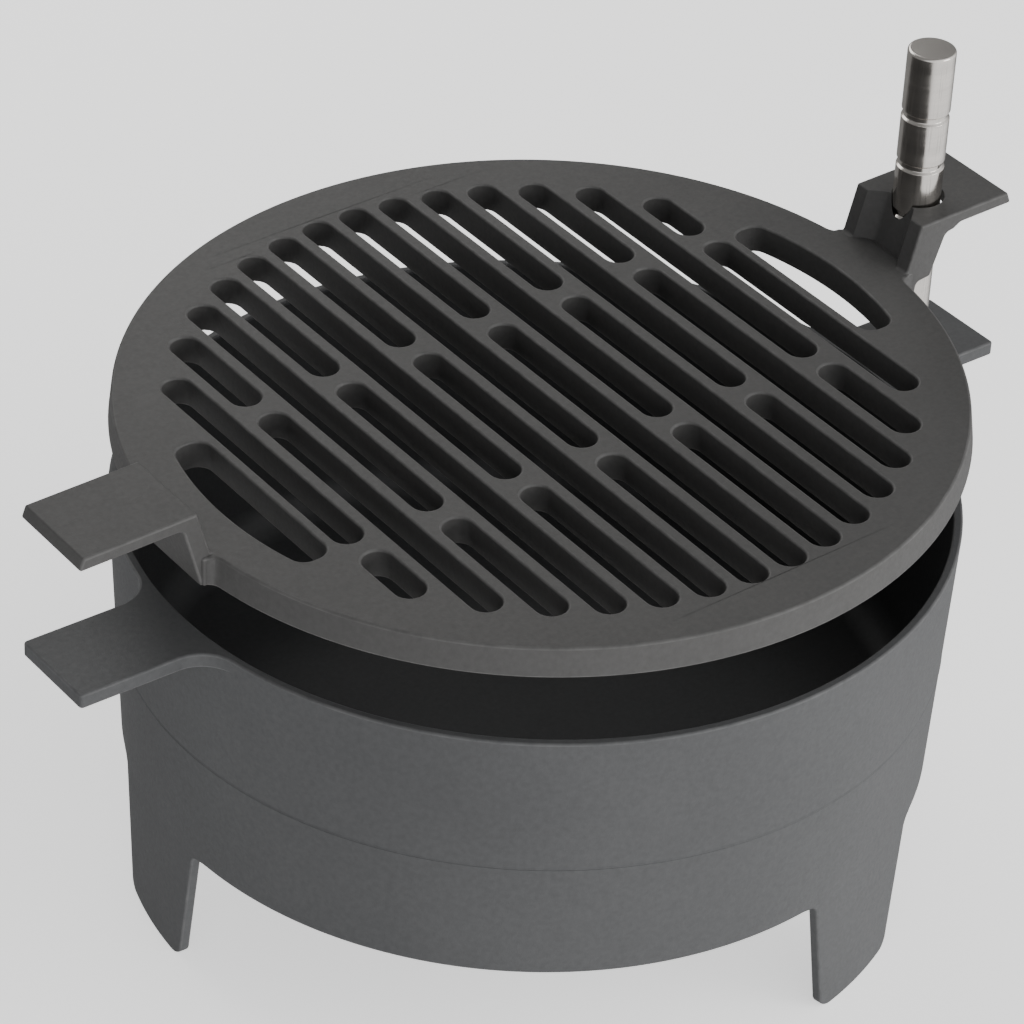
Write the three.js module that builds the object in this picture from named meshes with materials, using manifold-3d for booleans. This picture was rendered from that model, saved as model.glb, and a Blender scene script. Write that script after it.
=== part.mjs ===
// Round cast-iron table grill: a bowl on three legs, a post at one side, and a
// slotted cooking grate that slides and swings on the post. Millimetres, +Z up.
// The origin is on the floor below the middle of the bowl; +X points to the post.
import * as THREE from 'three';
import { mergeVertices } from 'three/addons/utils/BufferGeometryUtils.js';
import Module from 'manifold-3d';

const wasm = await Module();
wasm.setup();

// ---- driving dimensions -------------------------------------------------------

const DEG = Math.PI / 180;

const BOWL = {
  rimZ: 164,          // top of the rim
  baseZ: 56,          // bottom edge of the wall
  rimR: 161.5,        // outside radius at the rim
  baseR: 157.3,       // outside radius at the bottom edge
  wall: 3.6,
  floor: 6,
  cornerR: 14,        // inside corner between wall and floor
  edgeR: 1.5,         // outside corner between wall and floor
  segments: 96,
};
const TAB = { endX: 214, halfWidth: 19.5, thickness: 6, fillet: 15 };
const LEG = {
  azimuths: [49.3, 169.3, 289.3],
  thickness: 4.5,
  topHalf: 11.8,      // half the width at the bowl's bottom edge, in degrees
  footHalf: 9,        // the same at the floor, before the round corners
  footCorner: 2,      // how far the round corners take the foot in, in degrees
  cornerHeight: 5,
  filletHeight: 5,
  filletHalf: 2,      // how far the top fillets reach sideways, in degrees
};

const GRATE = {
  topZ: 208.5,        // top face, on the body axis
  droop: 1.6 * DEG,   // the grate hangs from the post and droops to its handle
  sideTilt: 0.6 * DEG, // and leans a little to one side
  topR: 160,
  bottomR: 161.5,
  thickness: 12,
  halfWidth: 19.5,    // of the handle and of the bracket
  raise: 19.7,        // plates of handle and bracket, above the grate's top face
  plate: 5,
  rootFillet: 6,
  segments: 96,
};
const SLOT = {
  columns: 14,
  pitch: 17.4,
  halfWidth: 6.1,
  endCentreR: 135.3,  // the slots' outer end centres lie on this circle
  bridgeY: 45.5,
  bridge: 7.5,
  arcSteps: 7,
};
const END_SLOT = { innerX: 123.25, outerR: 142.5, halfLength: 42, corner: 5, arcSteps: 10 };
const HANDLE = { innerX: 165, outerX: 213.4, endSlope: 2, riser: 5, slope: 5 };
const BRACKET = {
  innerX: 168,
  outerX: 214.4,
  endSlope: 2,
  slope: 5.8,
  boreR: 10.4,
  boreShift: [0.45, -0.4], // the post bears on one side of the bore
  recessHalf: 13,
  recessFloorHalf: 7.5,
  recessDepth: 6.2,
};

const POST = {
  x: 181.5,
  radius: 9.5,
  topZ: 297.8,
  chamfer: 1,
  grooves: [270.2, 248.7, 227.2, 205.7],
  grooveHalf: 1.75,
  grooveDepth: 1,
  spigotR: 6,
  spigotBottomZ: 143,
  segments: 32,
};
const GAP = 0.3;      // between pieces that touch
const WASHER = { outerR: 12, thickness: 2.2 };
const NUT = { acrossFlats: 19, height: 9 };

// How the whole cooking grate is turned. Its bore stays upright, in line with the post.
const GRATE_TURN = new THREE.Euler(GRATE.sideTilt, -GRATE.droop, 0);

// ---- materials ------------------------------------------------------------------

const castIron = (color) => new THREE.MeshStandardMaterial({ color, roughness: 0.75, metalness: 0.55 });
const MATERIALS = {
  bowl: castIron('#5a5b5d'),
  grate: castIron('#605c5a'),
  steel: new THREE.MeshStandardMaterial({ color: '#bdb8b0', roughness: 0.3, metalness: 1 }),
  zinc: new THREE.MeshStandardMaterial({ color: '#a9abad', roughness: 0.4, metalness: 0.9 }),
};

// ---- helpers ---------------------------------------------------------------------

// A closed mesh with its shared corners merged, as manifold-3d needs it.
function solid(geometry) {
  const bare = geometry.clone();
  bare.deleteAttribute('normal');
  bare.deleteAttribute('uv');
  const merged = mergeVertices(bare, 1e-4);
  const triVerts = new Uint32Array(merged.index.array);
  const vertProperties = new Float32Array(merged.attributes.position.array);
  return new wasm.Manifold(new wasm.Mesh({ numProp: 3, vertProperties, triVerts }));
}

function geometryOf(manifold) {
  const mesh = manifold.getMesh();
  const geometry = new THREE.BufferGeometry();
  geometry.setAttribute('position', new THREE.Float32BufferAttribute(mesh.vertProperties, 3));
  geometry.setIndex(new THREE.Uint32BufferAttribute(mesh.triVerts, 1));
  geometry.computeVertexNormals();
  return geometry;
}

function piece(name, geometry, material) {
  const mesh = new THREE.Mesh(geometry, material);
  mesh.name = name;
  return mesh;
}

// Turned shape about Z from [radius, z] points that start and end on the axis or close.
function turned(profile, segments) {
  const points = profile.map(([r, z]) => new THREE.Vector2(r, z));
  return new THREE.LatheGeometry(points, segments).rotateX(Math.PI / 2);
}

// Outline in the XY plane, raised from z0 to z1.
function raised(outline, z0, z1, curveSegments = 12) {
  const options = { depth: z1 - z0, bevelEnabled: false, curveSegments };
  return new THREE.ExtrudeGeometry(outline, options).translate(0, 0, z0);
}

// Side view drawn as [x, z] points, made halfWidth thick to both sides of y = 0.
function sideProfile(points, halfWidth) {
  const outline = new THREE.Shape(points.map(([x, z]) => new THREE.Vector2(x, z)));
  const options = { depth: 2 * halfWidth, bevelEnabled: false };
  return new THREE.ExtrudeGeometry(outline, options).rotateX(Math.PI / 2).translate(0, halfWidth, 0);
}

function arcPoints(cx, cy, r, from, to, steps) {
  return Array.from({ length: steps + 1 }, (_, i) => {
    const a = from + (to - from) * i / steps;
    return [cx + r * Math.cos(a), cy + r * Math.sin(a)];
  });
}

// Plan view of a straight tab that grows out of a round rim with a fillet at each side.
function tabOutline(rimR, halfWidth, endX, fillet) {
  const cy = halfWidth + fillet;
  const cx = Math.sqrt((rimR + fillet) ** 2 - cy ** 2);
  const start = Math.atan2(-cy, -cx);
  const side = arcPoints(cx, cy, fillet, start, -Math.PI / 2, 5);
  const upper = [[0.92 * rimR, side[0][1]], ...side, [endX, halfWidth]];
  const lower = upper.map(([x, y]) => [x, -y]).reverse();
  return new THREE.Shape([...lower, ...upper].map(([x, y]) => new THREE.Vector2(x, y)));
}

// ---- bowl with tabs and legs -------------------------------------------------------

// One leg carries the wall's curve on, straight down to the floor. Rows of the grid run
// from inside the wall to the floor, and each row says how far the leg reaches sideways.
// The leg's face lies a hair inside the wall's, so that the two solids join cleanly.
function legGeometry(azimuth) {
  const rows = [{ z: BOWL.baseZ + BOWL.edgeR + 3, half: LEG.topHalf + LEG.filletHalf }];
  for (let i = 0; i <= 4; i += 1) {
    const a = i * Math.PI / 8;
    const half = LEG.topHalf + LEG.filletHalf * (1 - Math.sin(a));
    rows.push({ z: BOWL.baseZ - LEG.filletHeight * (1 - Math.cos(a)), half });
  }
  for (let i = 0; i <= 4; i += 1) {
    const a = i * Math.PI / 8;
    const half = LEG.footHalf - LEG.footCorner * (1 - Math.cos(a));
    rows.push({ z: LEG.cornerHeight * (1 - Math.sin(a)), half });
  }
  const columns = 10;
  const across = columns + 1;
  const position = [];
  for (const inset of [0.01, LEG.thickness]) {
    for (const { z, half } of rows) {
      for (let j = 0; j <= columns; j += 1) {
        const a = (azimuth + half * (2 * j / columns - 1)) * DEG;
        const r = BOWL.baseR - inset;
        position.push(r * Math.cos(a), r * Math.sin(a), z);
      }
    }
  }
  const inner = rows.length * across;
  const index = [];
  const quad = (a, b, c, d) => index.push(a, b, c, a, c, d);
  for (let i = 0; i + 1 < rows.length; i += 1) {
    for (let j = 0; j < columns; j += 1) {
      const p = i * across + j;
      quad(p, p + across, p + across + 1, p + 1);
      quad(inner + p, inner + p + 1, inner + p + across + 1, inner + p + across);
    }
    const left = i * across;
    const right = left + columns;
    quad(left, inner + left, inner + left + across, left + across);
    quad(right, right + across, inner + right + across, inner + right);
  }
  const last = (rows.length - 1) * across;
  for (let j = 0; j < columns; j += 1) {
    quad(j, j + 1, inner + j + 1, inner + j);
    quad(last + j, inner + last + j, inner + last + j + 1, last + j + 1);
  }
  const geometry = new THREE.BufferGeometry();
  geometry.setAttribute('position', new THREE.Float32BufferAttribute(position, 3));
  geometry.setIndex(index);
  return geometry;
}

function bowlGeometry() {
  const { rimZ, baseZ, rimR, baseR, wall, floor, cornerR, edgeR, segments } = BOWL;
  const floorZ = baseZ + floor;
  const insideR = baseR - wall;
  const outerCorner = arcPoints(baseR - edgeR, baseZ + edgeR, edgeR, -Math.PI / 2, 0, 3);
  const innerCorner = arcPoints(insideR - cornerR, floorZ + cornerR, cornerR, 0, -Math.PI / 2, 4);
  const shell = [[0, baseZ], ...outerCorner, [rimR, rimZ], [rimR - wall, rimZ], ...innerCorner, [0, floorZ]];
  let bowl = solid(turned(shell, segments));

  const plan = tabOutline(rimR, TAB.halfWidth, TAB.endX, TAB.fillet);
  const tab = raised(plan, rimZ - TAB.thickness, rimZ);
  const inside = [[0, floorZ + cornerR], [insideR, floorZ + cornerR], [rimR - wall, rimZ],
    [rimR - wall, rimZ + 1], [0, rimZ + 1]];
  const hollow = solid(turned(inside, segments));
  const backTab = tab.clone().rotateZ(Math.PI);
  bowl = bowl.add(solid(tab).add(solid(backTab)).subtract(hollow));

  for (const azimuth of LEG.azimuths) bowl = bowl.add(solid(legGeometry(azimuth)));

  const hole = new THREE.CylinderGeometry(POST.spigotR + GAP, POST.spigotR + GAP, 4 * TAB.thickness, 24);
  hole.rotateX(Math.PI / 2).translate(POST.x, 0, rimZ);
  return geometryOf(bowl.subtract(solid(hole)));
}

// ---- cooking grate with handle and bracket -------------------------------------------

// Hole with straight sides along Y and a round end at y0 and at y1.
function slotHole(x, y0, y1, halfWidth, steps) {
  const top = arcPoints(x, y1, halfWidth, 0, Math.PI, steps);
  const bottom = arcPoints(x, y0, halfWidth, Math.PI, 2 * Math.PI, steps);
  return new THREE.Path([...top, ...bottom].map(([px, py]) => new THREE.Vector2(px, py)));
}

// The first and last opening: straight towards the middle, round along the rim.
function endSlotHole(side) {
  const { innerX, outerR, halfLength, corner, arcSteps } = END_SLOT;
  const reach = Math.asin((halfLength - corner / 2) / outerR);
  const arc = arcPoints(0, 0, outerR, -reach, reach, arcSteps);
  const y = halfLength;
  const points = [...arc, [innerX + 1.6 * corner, y], [innerX + corner / 3, y - corner / 2],
    [innerX, y - 1.6 * corner], [innerX, 1.6 * corner - y], [innerX + corner / 3, corner / 2 - y],
    [innerX + 1.6 * corner, -y]];
  return new THREE.Path(points.map(([px, py]) => new THREE.Vector2(side * px, py)));
}

function slottedDisc() {
  const { topR, bottomR, thickness, segments } = GRATE;
  const outline = new THREE.Shape();
  outline.absarc(0, 0, bottomR, 0, 2 * Math.PI, false);
  const tipGap = SLOT.bridge / 2 + SLOT.halfWidth;
  for (let k = 0; k < SLOT.columns; k += 1) {
    const x = (k - (SLOT.columns - 1) / 2) * SLOT.pitch;
    const end = Math.sqrt(SLOT.endCentreR ** 2 - x ** 2);
    const bridgeY = k % 2 ? SLOT.bridgeY : -SLOT.bridgeY;
    outline.holes.push(slotHole(x, -end, bridgeY - tipGap, SLOT.halfWidth, SLOT.arcSteps));
    outline.holes.push(slotHole(x, bridgeY + tipGap, end, SLOT.halfWidth, SLOT.arcSteps));
  }
  outline.holes.push(endSlotHole(1), endSlotHole(-1));
  const disc = raised(outline, -thickness, 0, segments / 2);
  const position = disc.attributes.position;
  for (let i = 0; i < position.count; i += 1) {
    const r = Math.hypot(position.getX(i), position.getY(i));
    if (position.getZ(i) > -1 && r > END_SLOT.outerR + 5) {
      position.setXY(i, position.getX(i) * topR / r, position.getY(i) * topR / r);
    }
  }
  return disc;
}

function handleGeometry() {
  const { innerX, outerX, endSlope, riser, slope } = HANDLE;
  const { raise, plate, thickness, halfWidth } = GRATE;
  const under = raise - plate;
  const side = [[innerX - slope, 0], [innerX - slope - 4, -2], [innerX - slope - 4, -thickness],
    [innerX - 1, -thickness], [innerX + riser, under - 3], [innerX + riser + 3, under],
    [outerX, under], [outerX - endSlope, raise], [innerX, raise]];
  return sideProfile(side, halfWidth).rotateZ(Math.PI);
}

function bracketGeometry() {
  const { innerX, outerX, endSlope, slope } = BRACKET;
  const { raise, plate, thickness, halfWidth } = GRATE;
  const under = raise - plate;
  const side = [[innerX - slope, 0], [innerX - slope - 4, -2], [innerX - slope - 4, -thickness],
    [innerX - 1, -thickness], [innerX, -6], [innerX + 6.6, -5.3], [innerX + 11.9, under - 5],
    [innerX + 13.4, under - 2.1], [innerX + 18, under - 1.4], [innerX + 20.4, under],
    [outerX, under], [outerX - endSlope, raise], [innerX, raise]];
  return sideProfile(side, halfWidth);
}

// The hollow in the bracket's inner face has slanted sides, and leans with that face.
function recessGeometry() {
  const { innerX, slope, recessHalf, recessFloorHalf, recessDepth } = BRACKET;
  const ahead = 5;
  const face = innerX - slope;
  const mouth = recessHalf + ahead * (recessHalf - recessFloorHalf) / recessDepth;
  const plan = [[face - ahead, -mouth], [face + recessDepth, -recessFloorHalf],
    [face + recessDepth, recessFloorHalf], [face - ahead, mouth]];
  const outline = new THREE.Shape(plan.map(([x, y]) => new THREE.Vector2(x, y)));
  const cut = raised(outline, 0, GRATE.raise + 10);
  const lean = slope / GRATE.raise;
  const position = cut.attributes.position;
  for (let i = 0; i < position.count; i += 1) {
    position.setX(i, position.getX(i) + lean * position.getZ(i));
  }
  return cut;
}

function cookingGrateGeometry() {
  const { topR, thickness, halfWidth, rootFillet, raise } = GRATE;
  const bracketRoot = raised(tabOutline(topR, halfWidth, BRACKET.innerX - 1.2, rootFillet), -thickness, 0);
  const handleRoot = raised(tabOutline(topR, halfWidth, HANDLE.innerX - 1.2, rootFillet), -thickness, 0);
  const bore = new THREE.CylinderGeometry(BRACKET.boreR, BRACKET.boreR, 4 * raise, 40).rotateX(Math.PI / 2);
  bore.translate(POST.x + BRACKET.boreShift[0], BRACKET.boreShift[1], 0);
  bore.applyMatrix4(new THREE.Matrix4().makeRotationFromEuler(GRATE_TURN).invert());
  const grate = solid(slottedDisc())
    .add(solid(bracketRoot))
    .add(solid(handleRoot.rotateZ(Math.PI)))
    .add(solid(handleGeometry()))
    .add(solid(bracketGeometry()))
    .subtract(solid(recessGeometry()))
    .subtract(solid(bore));
  return geometryOf(grate);
}

// ---- post and its fastening --------------------------------------------------------

function postGeometry() {
  const { radius, topZ, chamfer, grooves, grooveHalf, grooveDepth, spigotR, spigotBottomZ } = POST;
  const profile = [[0, spigotBottomZ], [spigotR - 1, spigotBottomZ], [spigotR, spigotBottomZ + 1],
    [spigotR, BOWL.rimZ + GAP], [radius, BOWL.rimZ + GAP]];
  for (const z of [...grooves].reverse()) {
    const deep = radius - grooveDepth;
    profile.push([radius, z - grooveHalf], [deep, z - grooveHalf / 2], [deep, z + grooveHalf / 2],
      [radius, z + grooveHalf]);
  }
  profile.push([radius, topZ - chamfer], [radius - chamfer, topZ], [0, topZ]);
  return turned(profile, POST.segments);
}

function ringGeometry(outline, holeR, thickness) {
  const hole = new THREE.Path();
  hole.absarc(0, 0, holeR, 0, 2 * Math.PI, true);
  outline.holes.push(hole);
  return raised(outline, -thickness, 0, 12);
}

function washerGeometry() {
  const outline = new THREE.Shape();
  outline.absarc(0, 0, WASHER.outerR, 0, 2 * Math.PI, false);
  return ringGeometry(outline, POST.spigotR + GAP, WASHER.thickness);
}

function nutGeometry() {
  const corner = NUT.acrossFlats / Math.sqrt(3);
  const corners = Array.from({ length: 6 }, (_, i) => new THREE.Vector2(
    corner * Math.cos(i * Math.PI / 3), corner * Math.sin(i * Math.PI / 3)));
  return ringGeometry(new THREE.Shape(corners), POST.spigotR + GAP, NUT.height);
}

// ---- assembly -------------------------------------------------------------------------

const grill = new THREE.Group();

const bowl = piece('bowl_body', bowlGeometry(), MATERIALS.bowl);

const cookingGrate = piece('cooking_grate', cookingGrateGeometry(), MATERIALS.grate);
cookingGrate.position.z = GRATE.topZ;
cookingGrate.rotation.copy(GRATE_TURN);

const postStand = new THREE.Group();
postStand.position.x = POST.x;
const post = piece('post', postGeometry(), MATERIALS.steel);
const washer = piece('post_washer', washerGeometry(), MATERIALS.zinc);
washer.position.z = BOWL.rimZ - TAB.thickness - GAP;
const nut = piece('post_nut', nutGeometry(), MATERIALS.zinc);
nut.position.z = washer.position.z - WASHER.thickness - GAP;
postStand.add(post, washer, nut);

grill.add(bowl, cookingGrate, postStand);

export default grill;
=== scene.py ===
import math

import bmesh
import bpy
from mathutils import Matrix, Vector


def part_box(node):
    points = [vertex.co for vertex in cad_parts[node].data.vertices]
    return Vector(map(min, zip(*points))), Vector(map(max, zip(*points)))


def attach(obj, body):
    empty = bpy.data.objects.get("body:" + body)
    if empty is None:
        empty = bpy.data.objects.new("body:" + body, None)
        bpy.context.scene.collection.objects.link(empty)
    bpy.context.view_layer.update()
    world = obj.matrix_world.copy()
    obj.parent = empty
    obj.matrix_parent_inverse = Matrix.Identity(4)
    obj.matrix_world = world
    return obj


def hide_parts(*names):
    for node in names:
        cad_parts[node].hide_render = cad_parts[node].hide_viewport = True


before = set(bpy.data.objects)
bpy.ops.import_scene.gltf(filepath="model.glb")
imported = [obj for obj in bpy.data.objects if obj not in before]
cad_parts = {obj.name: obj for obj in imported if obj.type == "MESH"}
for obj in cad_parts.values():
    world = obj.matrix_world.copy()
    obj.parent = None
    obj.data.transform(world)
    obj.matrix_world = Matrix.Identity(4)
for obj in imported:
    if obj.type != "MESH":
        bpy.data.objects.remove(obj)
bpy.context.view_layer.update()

MM = 0.001
BOWL_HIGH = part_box("bowl_body")[1]
POST_LOW, POST_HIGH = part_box("post")
WASHER_LOW, WASHER_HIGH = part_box("post_washer")
NUT_LOW, NUT_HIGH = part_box("post_nut")

# ---- driving dimensions ------------------------------------------------------------

RIM_Z = BOWL_HIGH.z
RIM_R = BOWL_HIGH.y
BASE_Z = 56 * MM              # bottom edge of the bowl's wall
BASE_R = 157.3 * MM
WALL = 3.6 * MM
FLOOR = 6 * MM
INSIDE_CORNER = 14 * MM
SHELL_TOP_Z = RIM_Z - 1.8 * MM      # where the turned wall ends, inside the rim's ring
EDGE = 0.9 * MM               # round edges of the castings
SKIN = 0.03 * MM              # how deep a joined shape starts below its neighbour's face

SEAM_Z = 105.7 * MM           # fine mould line round the bowl
SEAM_DEPTH = 0.26 * MM
SEAM_LIP = 0.2 * MM           # how far the wall above the line stands out
SEAM_ROUND = 0.15 * MM

TAB_END = BOWL_HIGH.x
TAB_HALF = 19.5 * MM
TAB_THICK = 6 * MM
TAB_FILLET = 15 * MM
TAB_CORNER = 1.5 * MM

LEG_AZIMUTHS = (49.3, 169.3, 289.3)
LEG_THICK = 4.5 * MM
LEG_ROOT = 4 * MM             # how far a leg reaches up into the bowl
LEG_SKIN = 0.01 * MM          # how far its outer face lies inside the wall's
LEG_TOP_HALF = 11.8           # degrees to each side
LEG_FOOT_HALF = 9.0
LEG_FOOT_CORNER = 2.0
LEG_CORNER_Z = 5 * MM
LEG_FILLET_Z = 5 * MM
LEG_FILLET_HALF = 2.0
LEG_ROWS = 12                 # rows in a leg's fillet, and in its rounded foot corner
LEG_BEND_STEPS = 20           # steps across its broad faces

GRATE_Z = 208.5 * MM          # top face of the cooking grate, on the bowl's axis
GRATE_TILT = Matrix.Rotation(math.radians(0.6), 4, "X")
GRATE_DROOP = Matrix.Rotation(math.radians(-1.6), 4, "Y")
GRATE_TURN = GRATE_TILT @ GRATE_DROOP
GRATE_TOP_R = 160 * MM
GRATE_BOTTOM_R = 161.5 * MM
GRATE_THICK = 12 * MM
PLATE_HALF = 19.5 * MM        # half the width of the handle and the bracket
PLATE_RAISE = 19.7 * MM       # their plates' height above the grate
PLATE_THICK = 5 * MM
PLATE_UNDER = PLATE_RAISE - PLATE_THICK
END_SLOPE = 2 * MM            # how far their end faces lean in towards the top
ROOT_FILLET = 6 * MM          # where they leave the disc
ROOT_INSET = 1.2 * MM         # how far inside their feet the disc's own outline ends
ROOT_CORNER = 1.2 * MM
ROOT_BACK = 1 * MM            # how far their outer faces lean in, down to the disc's underside

SLOT_COLUMNS = 14
SLOT_PITCH = 17.4 * MM
SLOT_HALF = 6.1 * MM
SLOT_END_R = 135.3 * MM
BRIDGE_Y = 45.5 * MM
BRIDGE = 7.5 * MM
END_SLOT_X = 123.25 * MM
END_SLOT_R = 142.5 * MM
END_SLOT_HALF = 42 * MM
END_SLOT_CORNER = 6 * MM
END_SLOT_LAND = 5 * MM        # the disc's taper starts this far outside the end slots

HANDLE_X = (165 * MM, 213.4 * MM)
HANDLE_ROOT = 9 * MM          # how far its riser reaches into the disc
HANDLE_LEAN = 5.5 * MM
HANDLE_RISER = 6 * MM         # thickness of its riser below the plate

BRACKET_X = (168 * MM, 214.4 * MM)
BRACKET_ROOT = 4 * MM
BRACKET_LEAN = 5.8 * MM       # how far its inner face leans in over its height
RECESS_HALF = 13 * MM
RECESS_FLOOR_HALF = 7.5 * MM
RECESS_DEPTH = 6.2 * MM
RECESS_CORNER = 3.5 * MM
RECESS_AHEAD = 5 * MM         # how far the cut for it starts in front of the face
CUT_EDGE = 0.7 * MM           # round edges that the cuts leave
BORE_R = 10.4 * MM
BORE_SHIFT = (0.45 * MM, -0.4 * MM)    # the post bears on one side of the bore
BORE_SIDES = 64

POST_X = (POST_LOW.x + POST_HIGH.x) / 2
POST_R = (POST_HIGH.x - POST_LOW.x) / 2
POST_TOP = POST_HIGH.z
POST_TOP_EDGE = 1.1 * MM
POST_PLACE = Matrix.Translation((POST_X, 0, 0))
SHOULDER_Z = RIM_Z + 0.3 * MM
SHOULDER_EDGE = 0.5 * MM
GROOVES = (270.2 * MM, 248.7 * MM, 227.2 * MM, 205.7 * MM)
GROOVE_HALF = 1.75 * MM
GROOVE_DEPTH = 1 * MM
GROOVE_FLAT = 0.55 * GROOVE_HALF
SPIGOT_R = 6 * MM
SPIGOT_EDGE = 1 * MM
FASTENER_HOLE_R = SPIGOT_R + 0.3 * MM
WASHER_EDGE = 0.3 * MM
NUT_CORNER = 0.5 * MM
NUT_EDGE = 0.15 * MM
NUT_FACE = 0.86               # radius of the flat on its end faces, as a share of its corners'
NUT_DROP = 1.3 * MM           # how far its corners are turned down
NUT_LEAD = 0.8 * MM           # lead-in chamfers of its hole

SEGMENTS = 192                # round the big castings
POST_SEGMENTS = 96
WASHER_SEGMENTS = 64
NUT_HOLE_SEGMENTS = 48

# How far the normal of a face on a rounded edge leans, between these two limits.
PLATE_EDGE_LEAN = (0.1, 0.98)
TURNED_EDGE_LEAN = (0.15, 0.95)
LEG_EDGE_LEAN = (0.15, 0.97)

SHARP_ANGLE = math.radians(35)
BRIGHT_AZIMUTH = 295          # the side that the studio's light comes from, in degrees


# ---- plane outlines ----------------------------------------------------------------

def arc(cx, cy, r, start, end, steps):
    """Points on a circle from angle start to angle end, in radians."""
    turn = [start + (end - start) * i / steps for i in range(steps + 1)]
    return [(cx + r * math.cos(a), cy + r * math.sin(a)) for a in turn]


def ring(cx, cy, r, count):
    """A whole circle of count points."""
    return arc(cx, cy, r, 0, 2 * math.pi * (1 - 1 / count), count - 1)


def rounded(points, radii, steps=6, closed=True):
    """The outline with its corners replaced by arcs; radii holds one radius for each corner."""
    out = []
    count = len(points)
    for i, (point, radius) in enumerate(zip(points, radii)):
        if radius == 0 or (not closed and i in (0, count - 1)):
            out.append(point)
            continue
        here = Vector(point)
        before = (Vector(points[i - 1]) - here).normalized()
        after = (Vector(points[(i + 1) % count]) - here).normalized()
        half = before.angle(after) / 2
        centre = here + (before + after).normalized() * (radius / math.sin(half))
        reach = radius / math.tan(half)
        first = here + before * reach - centre
        last = here + after * reach - centre
        sweep = first.angle_signed(last)
        for k in range(steps + 1):
            spoke = first.copy()
            spoke.rotate(Matrix.Rotation(-sweep * k / steps, 2))
            out.append(tuple(centre + spoke))
    return out


def slot_outline(x, y0, y1, half):
    """A straight slot along Y whose round ends are centred on y0 and y1."""
    far_end = arc(x, y1, half, 0, math.pi, 10)
    return far_end + arc(x, y0, half, math.pi, 2 * math.pi, 10)


def end_slot_outline(side):
    """The opening nearest the rim: straight on the inside, round along the rim."""
    corner = END_SLOT_CORNER
    y = END_SLOT_HALF - corner
    far_x = math.sqrt((END_SLOT_R - corner) ** 2 - y ** 2)
    lean = math.atan2(y, far_x)
    upper = arc(0, 0, END_SLOT_R, 0, lean, 12)
    upper += arc(far_x, y, corner, lean, math.pi / 2, 6)[1:]
    upper += arc(END_SLOT_X + corner, y, corner, math.pi / 2, math.pi, 8)
    outline = upper + [(x, -y) for x, y in reversed(upper[1:])]
    return [(side * x, y) for x, y in outline]


def tab_edge(rim_r, half, end_x, fillet, corner):
    """Edge of a straight tab on a round rim, from the start of one fillet round to the other's.

    A tab that ends before its fillets do keeps the width that they have there."""
    cy = half + fillet
    cx = math.sqrt((rim_r + fillet) ** 2 - cy ** 2)
    side = arc(cx, cy, fillet, math.pi + math.atan2(cy, cx), 1.5 * math.pi, 12)
    side = [point for point in side if point[0] < end_x - corner]
    upper = side + arc(end_x - corner, side[-1][1] - corner, corner, math.pi / 2, 0, 5)
    return [(x, -y) for x, y in upper] + upper[::-1]


def rim_with_tabs(rim_r, front_tab, back_tab):
    """Round outline with one tab at +X and another at -X."""
    back_tab = [(-x, -y) for x, y in back_tab]
    outline = []
    for tab, other in ((front_tab, back_tab), (back_tab, front_tab)):
        start = math.atan2(tab[-1][1], tab[-1][0])
        end = math.atan2(other[0][1], other[0][0])
        if end <= start:
            end += 2 * math.pi
        outline += tab + arc(0, 0, rim_r, start, end, SEGMENTS // 2)[1:-1]
    return outline


# ---- meshes ------------------------------------------------------------------------

def weld(mesh, distance):
    """Joins points that lie on each other and turns every face outwards."""
    work = bmesh.new()
    work.from_mesh(mesh)
    bmesh.ops.remove_doubles(work, verts=work.verts, dist=distance)
    bmesh.ops.recalc_face_normals(work, faces=work.faces)
    work.to_mesh(mesh)
    work.free()


def new_mesh(name, vertices, faces):
    mesh = bpy.data.meshes.new(name)
    mesh.from_pydata(vertices, [], faces)
    weld(mesh, 0.0001 * MM)
    mesh.shade_smooth()
    return mesh


def add_object(name, data):
    obj = bpy.data.objects.new(name, data)
    bpy.context.scene.collection.objects.link(obj)
    return obj


def final_mesh(obj):
    """The object's mesh with its modifiers or its curve settings applied."""
    evaluated = obj.evaluated_get(bpy.context.evaluated_depsgraph_get())
    return bpy.data.meshes.new_from_object(evaluated)


def mark_edges(mesh, is_edge):
    """Stores on each face whether it belongs to a rounded edge, for the wear in the material."""
    attribute = mesh.attributes.new("edge", "FLOAT", "FACE")
    values = [1.0 if is_edge(polygon) else 0.0 for polygon in mesh.polygons]
    attribute.data.foreach_set("value", values)
    return mesh


def no_edge(polygon):
    return False


def plate_edge(polygon):
    low, high = PLATE_EDGE_LEAN
    return polygon.use_smooth and low < abs(polygon.normal.z) < high


def turned_edge(polygon):
    low, high = TURNED_EDGE_LEAN
    return low < abs(polygon.normal.z) < high


def leg_edge(polygon):
    """Whether a leg's face is neither on its broad faces nor square on its narrow sides."""
    x, y, z = polygon.center
    radial = abs(polygon.normal.x * x + polygon.normal.y * y) / math.hypot(x, y)
    low, high = LEG_EDGE_LEAN
    return z < BASE_Z and low < radial < high


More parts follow.
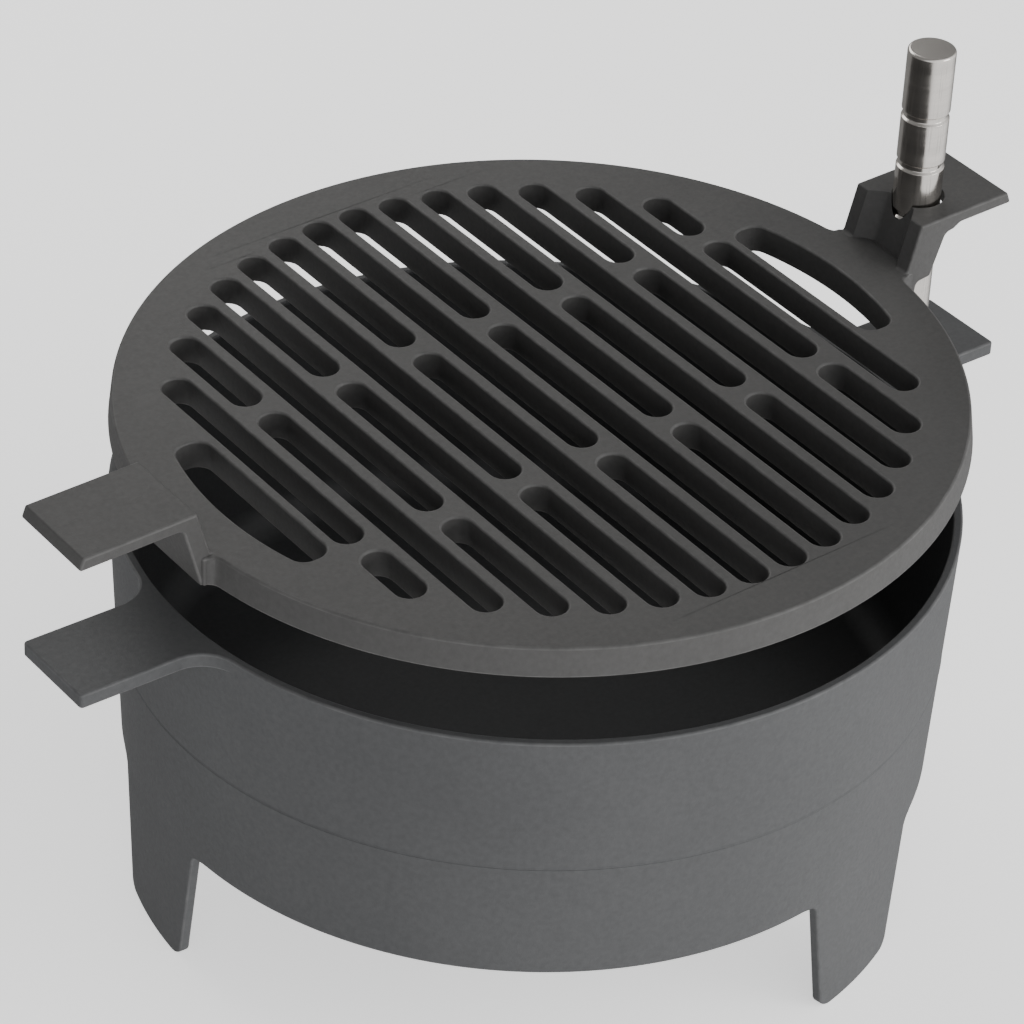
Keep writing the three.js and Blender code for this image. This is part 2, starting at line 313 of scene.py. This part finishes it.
def plate(name, outlines, z0, z1, edge):
    """Flat solid between z0 and z1 from an outline and its holes, with every edge rounded."""
    curve = bpy.data.curves.new(name, "CURVE")
    curve.dimensions = "2D"
    curve.fill_mode = "BOTH"
    for outline in outlines:
        spline = curve.splines.new("POLY")
        spline.points.add(len(outline) - 1)
        for point, (x, y) in zip(spline.points, outline):
            point.co = (x, y, 0, 1)
        spline.use_cyclic_u = True
    curve.extrude = (z1 - z0) / 2 - edge
    curve.bevel_depth = edge
    curve.bevel_resolution = 2
    curve.offset = -edge
    holder = add_object(name, curve)
    mesh = final_mesh(holder)
    bpy.data.objects.remove(holder)
    bpy.data.curves.remove(curve)
    mesh.transform(Matrix.Translation((0, 0, (z0 + z1) / 2)))
    weld(mesh, 0.001 * MM)
    for polygon in mesh.polygons:
        heights = [mesh.vertices[i].co.z for i in polygon.vertices]
        polygon.use_smooth = max(heights) - min(heights) > 0.001 * MM
    return mark_edges(mesh, plate_edge)


def side_plate(name, outline, half, edge):
    """Solid from a side view in X and Z, half thick to both sides of the middle plane."""
    mesh = plate(name, [outline], -half, half, edge)
    mesh.transform(Matrix.Rotation(math.pi / 2, 4, "X"))
    return mesh


def turned(name, profile, segments):
    """Solid of revolution about Z from (radius, z) points; a ring closes on itself."""
    vertices = []
    for k in range(segments):
        a = 2 * math.pi * k / segments
        vertices += [(r * math.cos(a), r * math.sin(a), z) for r, z in profile]
    count = len(profile)
    on_axis = profile[0][0] == 0 and profile[-1][0] == 0
    faces = []
    for k in range(segments):
        a = k * count
        b = (k + 1) % segments * count
        for i in range(count - 1 if on_axis else count):
            j = (i + 1) % count
            corners = [a + i, a + j, b + j, b + i]
            if profile[i][0] == 0:
                corners.remove(b + i)
            if profile[j][0] == 0:
                corners.remove(b + j)
            faces.append(corners)
    return mark_edges(new_mesh(name, vertices, faces), turned_edge)


def loops_solid(name, loops, is_edge):
    """Closed solid through a stack of loops with the same number of points, capped at the ends."""
    count = len(loops[0])
    vertices = [point for loop in loops for point in loop]
    faces = [tuple(range(count)), tuple(range(len(vertices) - count, len(vertices)))]
    for i in range(len(loops) - 1):
        low, high = i * count, (i + 1) * count
        for j in range(count):
            k = (j + 1) % count
            faces.append((low + j, low + k, high + k, high + j))
    return mark_edges(new_mesh(name, vertices, faces), is_edge)


def piece(name, meshes, body, node, material, matrix=None):
    """Joins the meshes into one object that rides on a body and stands for a CAD node."""
    work = bmesh.new()
    for mesh in meshes:
        work.from_mesh(mesh)
    joined = bpy.data.meshes.new(name)
    work.to_mesh(joined)
    work.free()
    obj = add_object(name, joined)
    if matrix:
        joined.transform(matrix)
    joined.materials.append(material)
    shading = [polygon.use_smooth for polygon in joined.polygons]
    joined.set_sharp_from_angle(angle=SHARP_ANGLE)
    joined.polygons.foreach_set("use_smooth", shading)
    weighted = obj.modifiers.new("weighted_normals", "WEIGHTED_NORMAL")
    weighted.keep_sharp = True
    weighted.weight = 80
    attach(obj, body)
    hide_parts(node)


def cut(mesh, cutters, edge):
    """The mesh with the cutters taken away and the sharp edges that they leave rounded."""
    obj = add_object("cut_work", mesh)
    tools = []
    for cutter in cutters:
        tool = add_object("cut_tool", cutter)
        tools.append(tool)
        boolean = obj.modifiers.new("cut", "BOOLEAN")
        boolean.operation = "DIFFERENCE"
        boolean.solver = "EXACT"
        boolean.object = tool
    bevel = obj.modifiers.new("round", "BEVEL")
    bevel.width = edge
    bevel.segments = 3
    bevel.limit_method = "ANGLE"
    bevel.angle_limit = math.radians(50)
    result = final_mesh(obj)
    for tool in tools:
        bpy.data.objects.remove(tool)
    bpy.data.objects.remove(obj)
    return result


# ---- materials ---------------------------------------------------------------------

def grey(value):
    return (value, value, value)


class Nodes:
    """A small helper that builds a material's node tree."""

    def __init__(self, name):
        self.material = bpy.data.materials.new(name)
        self.material.use_nodes = True
        self.tree = self.material.node_tree
        self.shader = self.tree.nodes["Principled BSDF"]
        self.place = self.add("ShaderNodeTexCoord").outputs["Object"]

    def add(self, kind, **values):
        node = self.tree.nodes.new(kind)
        for key, value in values.items():
            setattr(node, key, value)
        return node

    def link(self, source, target):
        self.tree.links.new(source, target)

    def feed(self, value, socket):
        """Links a socket to another, or sets a number or a colour on it."""
        if isinstance(value, bpy.types.NodeSocket):
            self.link(value, socket)
        elif isinstance(value, tuple):
            socket.default_value = (*value, 1)
        else:
            socket.default_value = value

    def shade(self, **values):
        """Sets or links the shader's sockets; an underscore stands for a space."""
        for key, value in values.items():
            self.feed(value, self.shader.inputs[key.replace("_", " ")])

    def noise(self, scale, detail=4.0, rough=0.55, place=None):
        node = self.add("ShaderNodeTexNoise")
        node.inputs["Scale"].default_value = scale
        node.inputs["Detail"].default_value = detail
        node.inputs["Roughness"].default_value = rough
        self.link(place or self.place, node.inputs["Vector"])
        return node.outputs["Fac"]

    def stretched(self, scale):
        """The object's coordinates with a scale for each axis."""
        node = self.add("ShaderNodeMapping")
        node.inputs["Scale"].default_value = scale
        self.link(self.place, node.inputs["Vector"])
        return node.outputs["Vector"]

    def attribute(self, name):
        return self.add("ShaderNodeAttribute", attribute_name=name).outputs["Fac"]

    def ramp(self, source, *stops):
        """A colour ramp; each stop is (position, colour)."""
        node = self.add("ShaderNodeValToRGB")
        elements = node.color_ramp.elements
        while len(elements) < len(stops):
            elements.new(0.5)
        for element, (position, colour) in zip(elements, stops):
            element.position = position
            element.color = (*colour, 1)
        self.link(source, node.inputs["Fac"])
        return node.outputs["Color"]

    def mix(self, factor, a, b, blend="MIX"):
        node = self.add("ShaderNodeMix", data_type="RGBA", blend_type=blend)
        self.feed(factor, node.inputs["Factor"])
        self.feed(a, node.inputs[6])
        self.feed(b, node.inputs[7])
        return node.outputs[2]

    def number(self, source, low, high, from_low=0.3, from_high=0.7):
        """The source's range from_low to from_high, moved to low to high."""
        node = self.add("ShaderNodeMapRange")
        node.inputs["From Min"].default_value = from_low
        node.inputs["From Max"].default_value = from_high
        node.inputs["To Min"].default_value = low
        node.inputs["To Max"].default_value = high
        self.link(source, node.inputs["Value"])
        return node.outputs["Result"]

    def times(self, a, b):
        node = self.add("ShaderNodeMath", operation="MULTIPLY")
        self.feed(a, node.inputs[0])
        self.feed(b, node.inputs[1])
        return node.outputs["Value"]

    def bump(self, height, strength, distance, below=None):
        node = self.add("ShaderNodeBump")
        node.inputs["Strength"].default_value = strength
        node.inputs["Distance"].default_value = distance
        self.link(height, node.inputs["Height"])
        if below:
            self.link(below, node.inputs["Normal"])
        return node.outputs["Normal"]


def cast_iron(name, dark, light, edge):
    """Oiled sand-cast iron: even grain, faint pits, rubbed edges, and painted shade that darkens
    the inside of the bowl.
    """
    n = Nodes(name)
    cloud = n.noise(9)
    mottle = n.noise(420, rough=0.6)
    grain_fine = n.noise(1700, detail=3, rough=0.6)
    grain_soft = n.noise(620, rough=0.6)

    tone = n.ramp(cloud, (0.3, dark), (0.7, light))
    speck = n.ramp(mottle, (0.3, grey(0.9)), (0.66, grey(1.06)))
    colour = n.mix(1.0, tone, speck, "MULTIPLY")
    inside = n.attribute("inside")
    # Painted shade: the bowl's inside is darkened to 0.55 of its colour.
    painted_inside_shade = n.mix(1.0, colour, grey(0.55), "MULTIPLY")
    colour = n.mix(inside, colour, painted_inside_shade)
    rubbed = n.attribute("edge")
    patchy = n.number(n.noise(150, rough=0.6), 0.15, 0.6, 0.35, 0.65)
    worn = n.mix(n.times(rubbed, patchy), colour, edge)

    hollows = n.ramp(n.noise(300, detail=6, rough=0.7), (0.26, grey(0)), (0.38, grey(1)))
    pits = n.bump(hollows, 0.2, 0.15 * MM)
    soft = n.bump(grain_soft, 0.3, 0.2 * MM, pits)
    fine = n.bump(grain_fine, 0.4, 0.12 * MM, soft)
    n.shade(Base_Color=worn, Roughness=n.number(grain_soft, 0.5, 0.6), Normal=fine)
    n.shade(Metallic=0.1, Specular_IOR_Level=0.4)
    return n.material


def turned_steel(name, colour, rough, lines=1.0):
    """Satin turned steel: fine rings round the bar, and a few fine scratches along it."""
    n = Nodes(name)
    rings = n.noise(1.0, 3, 0.7, n.stretched((8, 8, 2600)))
    bands = n.noise(1.0, 3, 0.6, n.stretched((20, 20, 260)))
    scratches = n.noise(1.0, 2, 0.5, n.stretched((1500, 1500, 40)))

    dull = tuple(0.86 * c for c in colour)
    tint = n.ramp(bands, (0.3, dull), (0.7, colour))
    dark_lines = n.ramp(scratches, (0.3, grey(0.7)), (0.42, grey(1)))
    scratched = n.mix(0.6, tint, n.mix(1.0, tint, dark_lines, "MULTIPLY"))

    turned_lines = n.bump(rings, 0.14 * lines, 0.03 * MM)
    relief = n.bump(scratches, 0.08 * lines, 0.03 * MM, turned_lines)
    gloss = n.number(bands, rough - 0.04, rough + 0.08)
    n.shade(Base_Color=scratched, Roughness=gloss, Normal=relief, Metallic=1.0)
    return n.material


# ---- bowl --------------------------------------------------------------------------

def wall_r(z):
    return BASE_R + (RIM_R - BASE_R) * (z - BASE_Z) / (RIM_Z - BASE_Z)


def away_from_leg(x, y):
    """How many degrees a place on the wall is clear of the nearest leg's fillets, from 0 to 1."""
    azimuth = math.degrees(math.atan2(y, x))
    nearest = min(abs((azimuth - centre + 180) % 360 - 180) for centre in LEG_AZIMUTHS)
    return min(max(nearest - LEG_TOP_HALF - LEG_FILLET_HALF, 0), 1)


def mark_inside(mesh):
    """Stores on each face whether it belongs to the bowl's inside, where the material paints
    shade.
    """
    attribute = mesh.attributes.new("inside", "FLOAT", "FACE")
    for polygon in mesh.polygons:
        x, y, z = polygon.center
        within = math.hypot(x, y) < wall_r(z) - 0.7 * WALL and z > BASE_Z + 1 * MM
        attribute.data[polygon.index].value = 1.0 if within else 0.0
    return mesh


def bowl_shell():
    """Turned wall and floor, with the mould line; the bottom edge is sharp where legs begin."""
    floor_z = BASE_Z + FLOOR
    line_low = SEAM_Z - SEAM_DEPTH
    line_top = SEAM_Z + 4 * SEAM_DEPTH
    profile = [
        ((0, BASE_Z), 0),
        ((BASE_R, BASE_Z), EDGE),
        ((wall_r(line_low), line_low), 0),
        ((wall_r(SEAM_Z) - SEAM_DEPTH, SEAM_Z), SEAM_ROUND),
        ((wall_r(SEAM_Z) + SEAM_LIP, SEAM_Z + SEAM_DEPTH), SEAM_ROUND),
        ((wall_r(line_top), line_top), SEAM_ROUND),
        ((wall_r(SHELL_TOP_Z), SHELL_TOP_Z), 0),
        ((wall_r(SHELL_TOP_Z) - WALL, SHELL_TOP_Z), 0),
        ((BASE_R - WALL, floor_z), INSIDE_CORNER),
        ((0, floor_z), 0),
    ]
    corners, radii = zip(*profile)
    mesh = turned("bowl_shell", rounded(corners, radii, 5, closed=False), 2 * SEGMENTS)
    for vertex in mesh.vertices:
        x, y, z = vertex.co
        r = math.hypot(x, y)
        if z < BASE_Z + EDGE and r > BASE_R - 1.1 * EDGE:
            share = 1 - away_from_leg(x, y)
            scale = 1 + share * (BASE_R - r) / r
            vertex.co = (x * scale, y * scale, z)
    edge = mesh.attributes["edge"].data
    for polygon in mesh.polygons:
        x, y, z = polygon.center
        edge[polygon.index].value *= away_from_leg(x, y) if z < BASE_Z + EDGE else 0
    return mark_inside(mesh)


def leg_rows():
    """Height and half width, in degrees, of a leg's cross-sections from the top down."""
    quarter = [math.pi / 2 * i / LEG_ROWS for i in range(LEG_ROWS + 1)]
    rows = [(BASE_Z + LEG_ROOT, LEG_TOP_HALF + LEG_FILLET_HALF)]
    for a in quarter:
        z = BASE_Z - LEG_FILLET_Z * (1 - math.cos(a))
        rows.append((z, LEG_TOP_HALF + LEG_FILLET_HALF * (1 - math.sin(a))))
    for a in quarter:
        z = LEG_CORNER_Z * (1 - math.sin(a))
        rows.append((z, LEG_FOOT_HALF - LEG_FOOT_CORNER * (1 - math.cos(a))))
    return rows


def leg(azimuth):
    """A leg that carries the wall's curve on to the floor, as a stack of rounded sections."""
    rows = leg_rows()
    lowest, foot_half = rows.pop()
    rows += [(lowest + EDGE, foot_half), (lowest + 0.3 * EDGE, foot_half), (lowest, foot_half)]
    insets = [0] * (len(rows) - 2) + [0.3 * EDGE, EDGE]
    turn = math.radians(azimuth)
    loops = []
    for (z, half), inset in zip(rows, insets):
        outer_r = BASE_R - LEG_SKIN - inset
        inner_r = BASE_R - LEG_THICK + inset
        reach = math.radians(half) * outer_r - inset
        corners = [(-reach, inner_r), (reach, inner_r), (reach, outer_r), (-reach, outer_r)]
        section = rounded(corners, [EDGE] * 4, 4)
        loop = []
        for (s0, r0), (s1, r1) in zip(section, section[1:] + section[:1]):
            steps = LEG_BEND_STEPS if abs(s1 - s0) > reach else 1
            for k in range(steps):
                a = turn + (s0 + (s1 - s0) * k / steps) / outer_r
                r = r0 + (r1 - r0) * k / steps
                loop.append((r * math.cos(a), r * math.sin(a), z))
        loops.append(loop)
    return loops_solid("leg", loops, leg_edge)


def bowl_rim():
    """Top of the wall and both tabs in one: a ring whose lower half lies inside the wall."""
    tab = tab_edge(RIM_R, TAB_HALF, TAB_END, TAB_FILLET, TAB_CORNER)
    outlines = [rim_with_tabs(RIM_R, tab, tab), ring(0, 0, RIM_R - WALL, SEGMENTS)]
    mesh = plate("bowl_rim", outlines, RIM_Z - TAB_THICK, RIM_Z, EDGE)
    for vertex in mesh.vertices:
        x, y, z = vertex.co
        r = math.hypot(x, y)
        if z >= RIM_Z - 1.5 * EDGE or r >= RIM_R + 0.01 * MM:
            continue
        if r < RIM_R - WALL / 2:
            target = max(r, RIM_R - WALL)
        else:
            target = wall_r(z) - 0.02 * MM
        vertex.co = (x * target / r, y * target / r, z)
    return mesh


def build_bowl(material):
    meshes = [bowl_shell(), bowl_rim()]
    meshes += [leg(azimuth) for azimuth in LEG_AZIMUTHS]
    piece("bowl_casting", meshes, "base", "bowl_body", material)


# ---- cooking grate -----------------------------------------------------------------

def grate_disc():
    """Slotted disc whose side tapers in towards the top, with the roots of its two plates."""
    roots = []
    for inner_x, _ in (BRACKET_X, HANDLE_X):
        end_x = inner_x - ROOT_INSET
        roots.append(tab_edge(GRATE_BOTTOM_R, PLATE_HALF, end_x, ROOT_FILLET, ROOT_CORNER))
    outlines = [rim_with_tabs(GRATE_BOTTOM_R, *roots)]
    tip_gap = BRIDGE / 2 + SLOT_HALF
    for k in range(SLOT_COLUMNS):
        x = (k - (SLOT_COLUMNS - 1) / 2) * SLOT_PITCH
        end = math.sqrt(SLOT_END_R ** 2 - x ** 2)
        bridge_y = BRIDGE_Y if k % 2 else -BRIDGE_Y
        outlines.append(slot_outline(x, -end, bridge_y - tip_gap, SLOT_HALF))
        outlines.append(slot_outline(x, bridge_y + tip_gap, end, SLOT_HALF))
    outlines += [end_slot_outline(1), end_slot_outline(-1)]
    mesh = plate("grate_disc", outlines, -GRATE_THICK, 0, EDGE)
    for vertex in mesh.vertices:
        r = math.hypot(vertex.co.x, vertex.co.y)
        if END_SLOT_R + END_SLOT_LAND < r < GRATE_BOTTOM_R + 1 * MM:
            share = 1 + vertex.co.z / GRATE_THICK
            scale = 1 - share * (GRATE_BOTTOM_R - GRATE_TOP_R) / r
            vertex.co.x *= scale
            vertex.co.y *= scale
    return mesh


def handle():
    """Riser and plate, drawn at +X and turned to -X."""
    x0, x1 = HANDLE_X
    profile = [
        ((x0 - HANDLE_ROOT, -SKIN), 0),
        ((x0 - HANDLE_LEAN, -SKIN), 2.5 * MM),
        ((x0, PLATE_RAISE), EDGE),
        ((x1 - END_SLOPE, PLATE_RAISE), EDGE),
        ((x1, PLATE_UNDER), EDGE),
        ((x0 + HANDLE_RISER, PLATE_UNDER), 3 * MM),
        ((x0 - ROOT_BACK, -GRATE_THICK), 0),
        ((x0 - HANDLE_ROOT, -GRATE_THICK), 0),
    ]
    mesh = side_plate("handle", rounded(*zip(*profile)), PLATE_HALF, EDGE)
    mesh.transform(Matrix.Rotation(math.pi, 4, "Z"))
    return mesh


def bracket_recess(foot):
    """The slanted hollow in the bracket's inner face, wider at its mouth than at its floor."""
    slope = BRACKET_LEAN / PLATE_RAISE
    mouth = RECESS_HALF + RECESS_AHEAD * (RECESS_HALF - RECESS_FLOOR_HALF) / RECESS_DEPTH
    front = foot - RECESS_AHEAD
    back = foot + RECESS_DEPTH
    plan = [(front, -mouth), (back, -RECESS_FLOOR_HALF), (back, RECESS_FLOOR_HALF), (front, mouth)]
    plan = rounded(plan, [0, RECESS_CORNER, RECESS_CORNER, 0], 6)
    heights = (-0.5 * MM, PLATE_RAISE + 10 * MM)
    loops = [[(x + slope * z, y, z) for x, y in plan] for z in heights]
    return loops_solid("recess", loops, no_edge)


def bracket_bore():
    """The hole for the post, upright when the grate hangs in its place."""
    upright = GRATE_TURN.inverted()
    circle = ring(POST_X + BORE_SHIFT[0], BORE_SHIFT[1], BORE_R, BORE_SIDES)
    heights = (-2 * GRATE_THICK, 2 * PLATE_RAISE)
    loops = [[upright @ Vector((x, y, z)) for x, y in circle] for z in heights]
    return loops_solid("bore", loops, no_edge)


def bracket():
    """Plate on a block that thickens down to the disc, with the recess and the post's bore."""
    x0, x1 = BRACKET_X
    foot = x0 - BRACKET_LEAN
    profile = [
        ((foot - BRACKET_ROOT, -SKIN), 0),
        ((foot, -SKIN), 2 * MM),
        ((x0, PLATE_RAISE), EDGE),
        ((x1 - END_SLOPE, PLATE_RAISE), EDGE),
        ((x1, PLATE_UNDER), EDGE),
        ((x0 + 20.4 * MM, PLATE_UNDER), 4 * MM),
        ((x0 + 17 * MM, PLATE_UNDER - 2 * MM), 2 * MM),
        ((x0 + 13.2 * MM, PLATE_UNDER - 2.6 * MM), 3 * MM),
        ((x0 + 6.6 * MM, -5.3 * MM), 1.5 * MM),
        ((x0, -6 * MM), 2 * MM),
        ((x0 - ROOT_BACK, -GRATE_THICK), 0),
        ((foot - BRACKET_ROOT, -GRATE_THICK), 0),
    ]
    body = side_plate("bracket", rounded(*zip(*profile)), PLATE_HALF, EDGE)
    return cut(body, [bracket_recess(foot), bracket_bore()], CUT_EDGE)


def build_cooking_grate(material):
    meshes = [grate_disc(), bracket(), handle()]
    place = Matrix.Translation((0, 0, GRATE_Z)) @ GRATE_TURN
    piece("cooking_grate_casting", meshes, "grate_body", "cooking_grate", material,
          place)


# ---- post and fastening ------------------------------------------------------------

def build_post(material):
    """Grooved bar with a thinner lower end through the tab."""
    profile = [
        ((0, POST_LOW.z), 0),
        ((SPIGOT_R, POST_LOW.z), SPIGOT_EDGE),
        ((SPIGOT_R, SHOULDER_Z), 0),
        ((POST_R, SHOULDER_Z), SHOULDER_EDGE),
    ]
    deep = POST_R - GROOVE_DEPTH
    for z in reversed(GROOVES):
        profile += [
            ((POST_R, z - GROOVE_HALF), 0.25 * MM),
            ((deep, z - GROOVE_FLAT), 0.5 * MM),
            ((deep, z + GROOVE_FLAT), 0.5 * MM),
            ((POST_R, z + GROOVE_HALF), 0.25 * MM),
        ]
    profile += [((POST_R, POST_TOP), POST_TOP_EDGE), ((0, POST_TOP), 0)]
    corners, radii = zip(*profile)
    mesh = turned("post_bar", rounded(corners, radii, 4, closed=False), POST_SEGMENTS)
    piece("post_bar", [mesh], "post_body", "post", material, POST_PLACE)


def build_washer(material):
    outer = (WASHER_HIGH.x - WASHER_LOW.x) / 2
    low, high = WASHER_LOW.z, WASHER_HIGH.z
    corners = [(FASTENER_HOLE_R, low), (outer, low), (outer, high), (FASTENER_HOLE_R, high)]
    mesh = turned("washer", rounded(corners, [WASHER_EDGE] * 4, 3), WASHER_SEGMENTS)
    piece("washer", [mesh], "base", "post_washer", material, POST_PLACE)


def build_nut(material):
    """Hexagon with its corners turned down at both ends, and a hole with lead-in chamfers."""
    corner_r = (NUT_HIGH.x - NUT_LOW.x) / 2
    hole = FASTENER_HOLE_R
    low, high = NUT_LOW.z, NUT_HIGH.z
    turns = [k * math.pi / 3 for k in range(6)]
    hexagon = [(corner_r * math.cos(a), corner_r * math.sin(a)) for a in turns]
    body = plate("nut_body", [rounded(hexagon, [NUT_CORNER] * 6, 3)], low, high, NUT_EDGE)
    tip = corner_r * NUT_FACE
    wide = corner_r + 3 * MM
    fall = NUT_DROP * (wide - tip) / (corner_r - tip)
    tools = []
    for face, inwards in ((low, 1), (high, -1)):
        beyond = face - inwards * 2 * MM
        end = [(tip, face - inwards * 0.05 * MM), (wide, face + inwards * fall), (wide, beyond),
               (tip, beyond)]
        tools.append(turned("nut_end", end, WASHER_SEGMENTS))
    mouth = hole + NUT_LEAD + MM
    bore = [(0, low - MM), (mouth, low - MM), (hole, low + NUT_LEAD), (hole, high - NUT_LEAD),
            (mouth, high + MM), (0, high + MM)]
    tools.append(turned("nut_bore", bore, NUT_HOLE_SEGMENTS))
    mesh = cut(body, tools, 0.1 * MM)
    piece("nut", [mesh], "base", "post_nut", material, POST_PLACE)


# ---- stage, light and camera -------------------------------------------------------

def build_floor():
    """Pale, faintly glowing table top that doesn't show in the steel."""
    n = Nodes("pale_floor")
    n.shade(Base_Color=grey(0.9), Roughness=0.8, Specular_IOR_Level=0.0)
    n.shade(Emission_Color=grey(1), Emission_Strength=0.95)
    half = 6.0
    corners = [(-half, -half, 0), (half, -half, 0), (half, half, 0), (-half, half, 0)]
    floor = add_object("floor", new_mesh("floor", corners, [(0, 1, 2, 3)]))
    floor.data.materials.append(n.material)
    floor.visible_glossy = False


def direction(azimuth, elevation):
    """The way from the grill towards a light or the camera, from angles in radians."""
    level = math.cos(elevation)
    return Vector((level * math.cos(azimuth), level * math.sin(azimuth), math.sin(elevation)))


def soft_light(name, azimuth, elevation, distance, size, power, colour):
    """Area light that faces the middle of the bowl's rim; its angles are in degrees."""
    data = bpy.data.lights.new(name, "AREA")
    data.shape = "RECTANGLE"
    data.size, data.size_y = size
    data.energy = power
    data.color = colour
    light = add_object(name, data)
    away = direction(math.radians(azimuth), math.radians(elevation))
    light.location = Vector((0, 0, RIM_Z)) + distance * away
    light.rotation_euler = away.to_track_quat("Z", "Y").to_euler()


def build_world():
    """Even studio surroundings, dim on the left and behind, and bright to the right."""
    world = bpy.data.worlds.new("studio")
    world.use_nodes = True
    nodes, links = world.node_tree.nodes, world.node_tree.links
    place = nodes.new("ShaderNodeTexCoord")
    towards = nodes.new("ShaderNodeVectorMath")
    towards.operation = "DOT_PRODUCT"
    bright = math.radians(BRIGHT_AZIMUTH)
    towards.inputs[1].default_value = (math.cos(bright), math.sin(bright), 0)
    level = nodes.new("ShaderNodeMapRange")
    level.interpolation_type = "SMOOTHSTEP"
    level.inputs["From Min"].default_value = -0.05
    level.inputs["From Max"].default_value = 0.75
    level.inputs["To Min"].default_value = 0.26
    level.inputs["To Max"].default_value = 1.4
    links.new(place.outputs["Generated"], towards.inputs[0])
    links.new(towards.outputs["Value"], level.inputs["Value"])
    links.new(level.outputs["Result"], nodes["Background"].inputs["Strength"])
    nodes["Background"].inputs["Color"].default_value = (1.0, 1.0, 1.0, 1)
    bpy.context.scene.world = world


def build_lights():
    warm, cool = (1.0, 0.99, 0.97), (0.97, 0.98, 1.0)
    soft_light("key", 305, 18, 1.9, (0.9, 0.9), 9, warm)
    soft_light("back", 80, 36, 1.9, (1.8, 0.9), 12, warm)
    soft_light("fill", 215, 15, 2.2, (1.4, 1.4), 4, cool)


def build_camera():
    """Long lens from in front and to the left, a little over a third of the way to overhead."""
    azimuth, elevation, roll = (math.radians(v) for v in (231.52, 34.3, 3.15))
    distance = 1.6562
    back = direction(azimuth, elevation)
    level = Vector((-math.sin(azimuth), math.cos(azimuth), 0))
    above = back.cross(level)
    right = math.cos(roll) * level + math.sin(roll) * above
    up = math.cos(roll) * above - math.sin(roll) * level
    turn = Matrix((right, up, back)).transposed().to_4x4()
    camera = add_object("camera", bpy.data.cameras.new("camera"))
    camera.data.sensor_width = 36
    camera.data.lens = 153.9
    camera.data.shift_x = -0.0240
    camera.data.shift_y = -0.0287
    camera.matrix_world = Matrix.Translation(Vector((0, 0, RIM_Z)) + distance * back) @ turn
    bpy.context.scene.camera = camera


# ---- assembly ----------------------------------------------------------------------

body_iron = cast_iron("body_cast_iron", dark=(0.069, 0.0705, 0.073),
                      light=(0.082, 0.0835, 0.086), edge=(0.14, 0.14, 0.142))
grate_iron = cast_iron("grate_cast_iron", dark=(0.064, 0.0628, 0.062),
                       light=(0.077, 0.0757, 0.0745), edge=(0.13, 0.128, 0.126))
post_steel = turned_steel("turned_stainless", (0.72, 0.685, 0.645), rough=0.19)
zinc = turned_steel("zinc_plated", (0.62, 0.63, 0.645), rough=0.38, lines=0.3)

build_bowl(body_iron)
build_cooking_grate(grate_iron)
build_post(post_steel)
build_washer(zinc)
build_nut(zinc)
build_floor()
build_world()
build_lights()
build_camera()
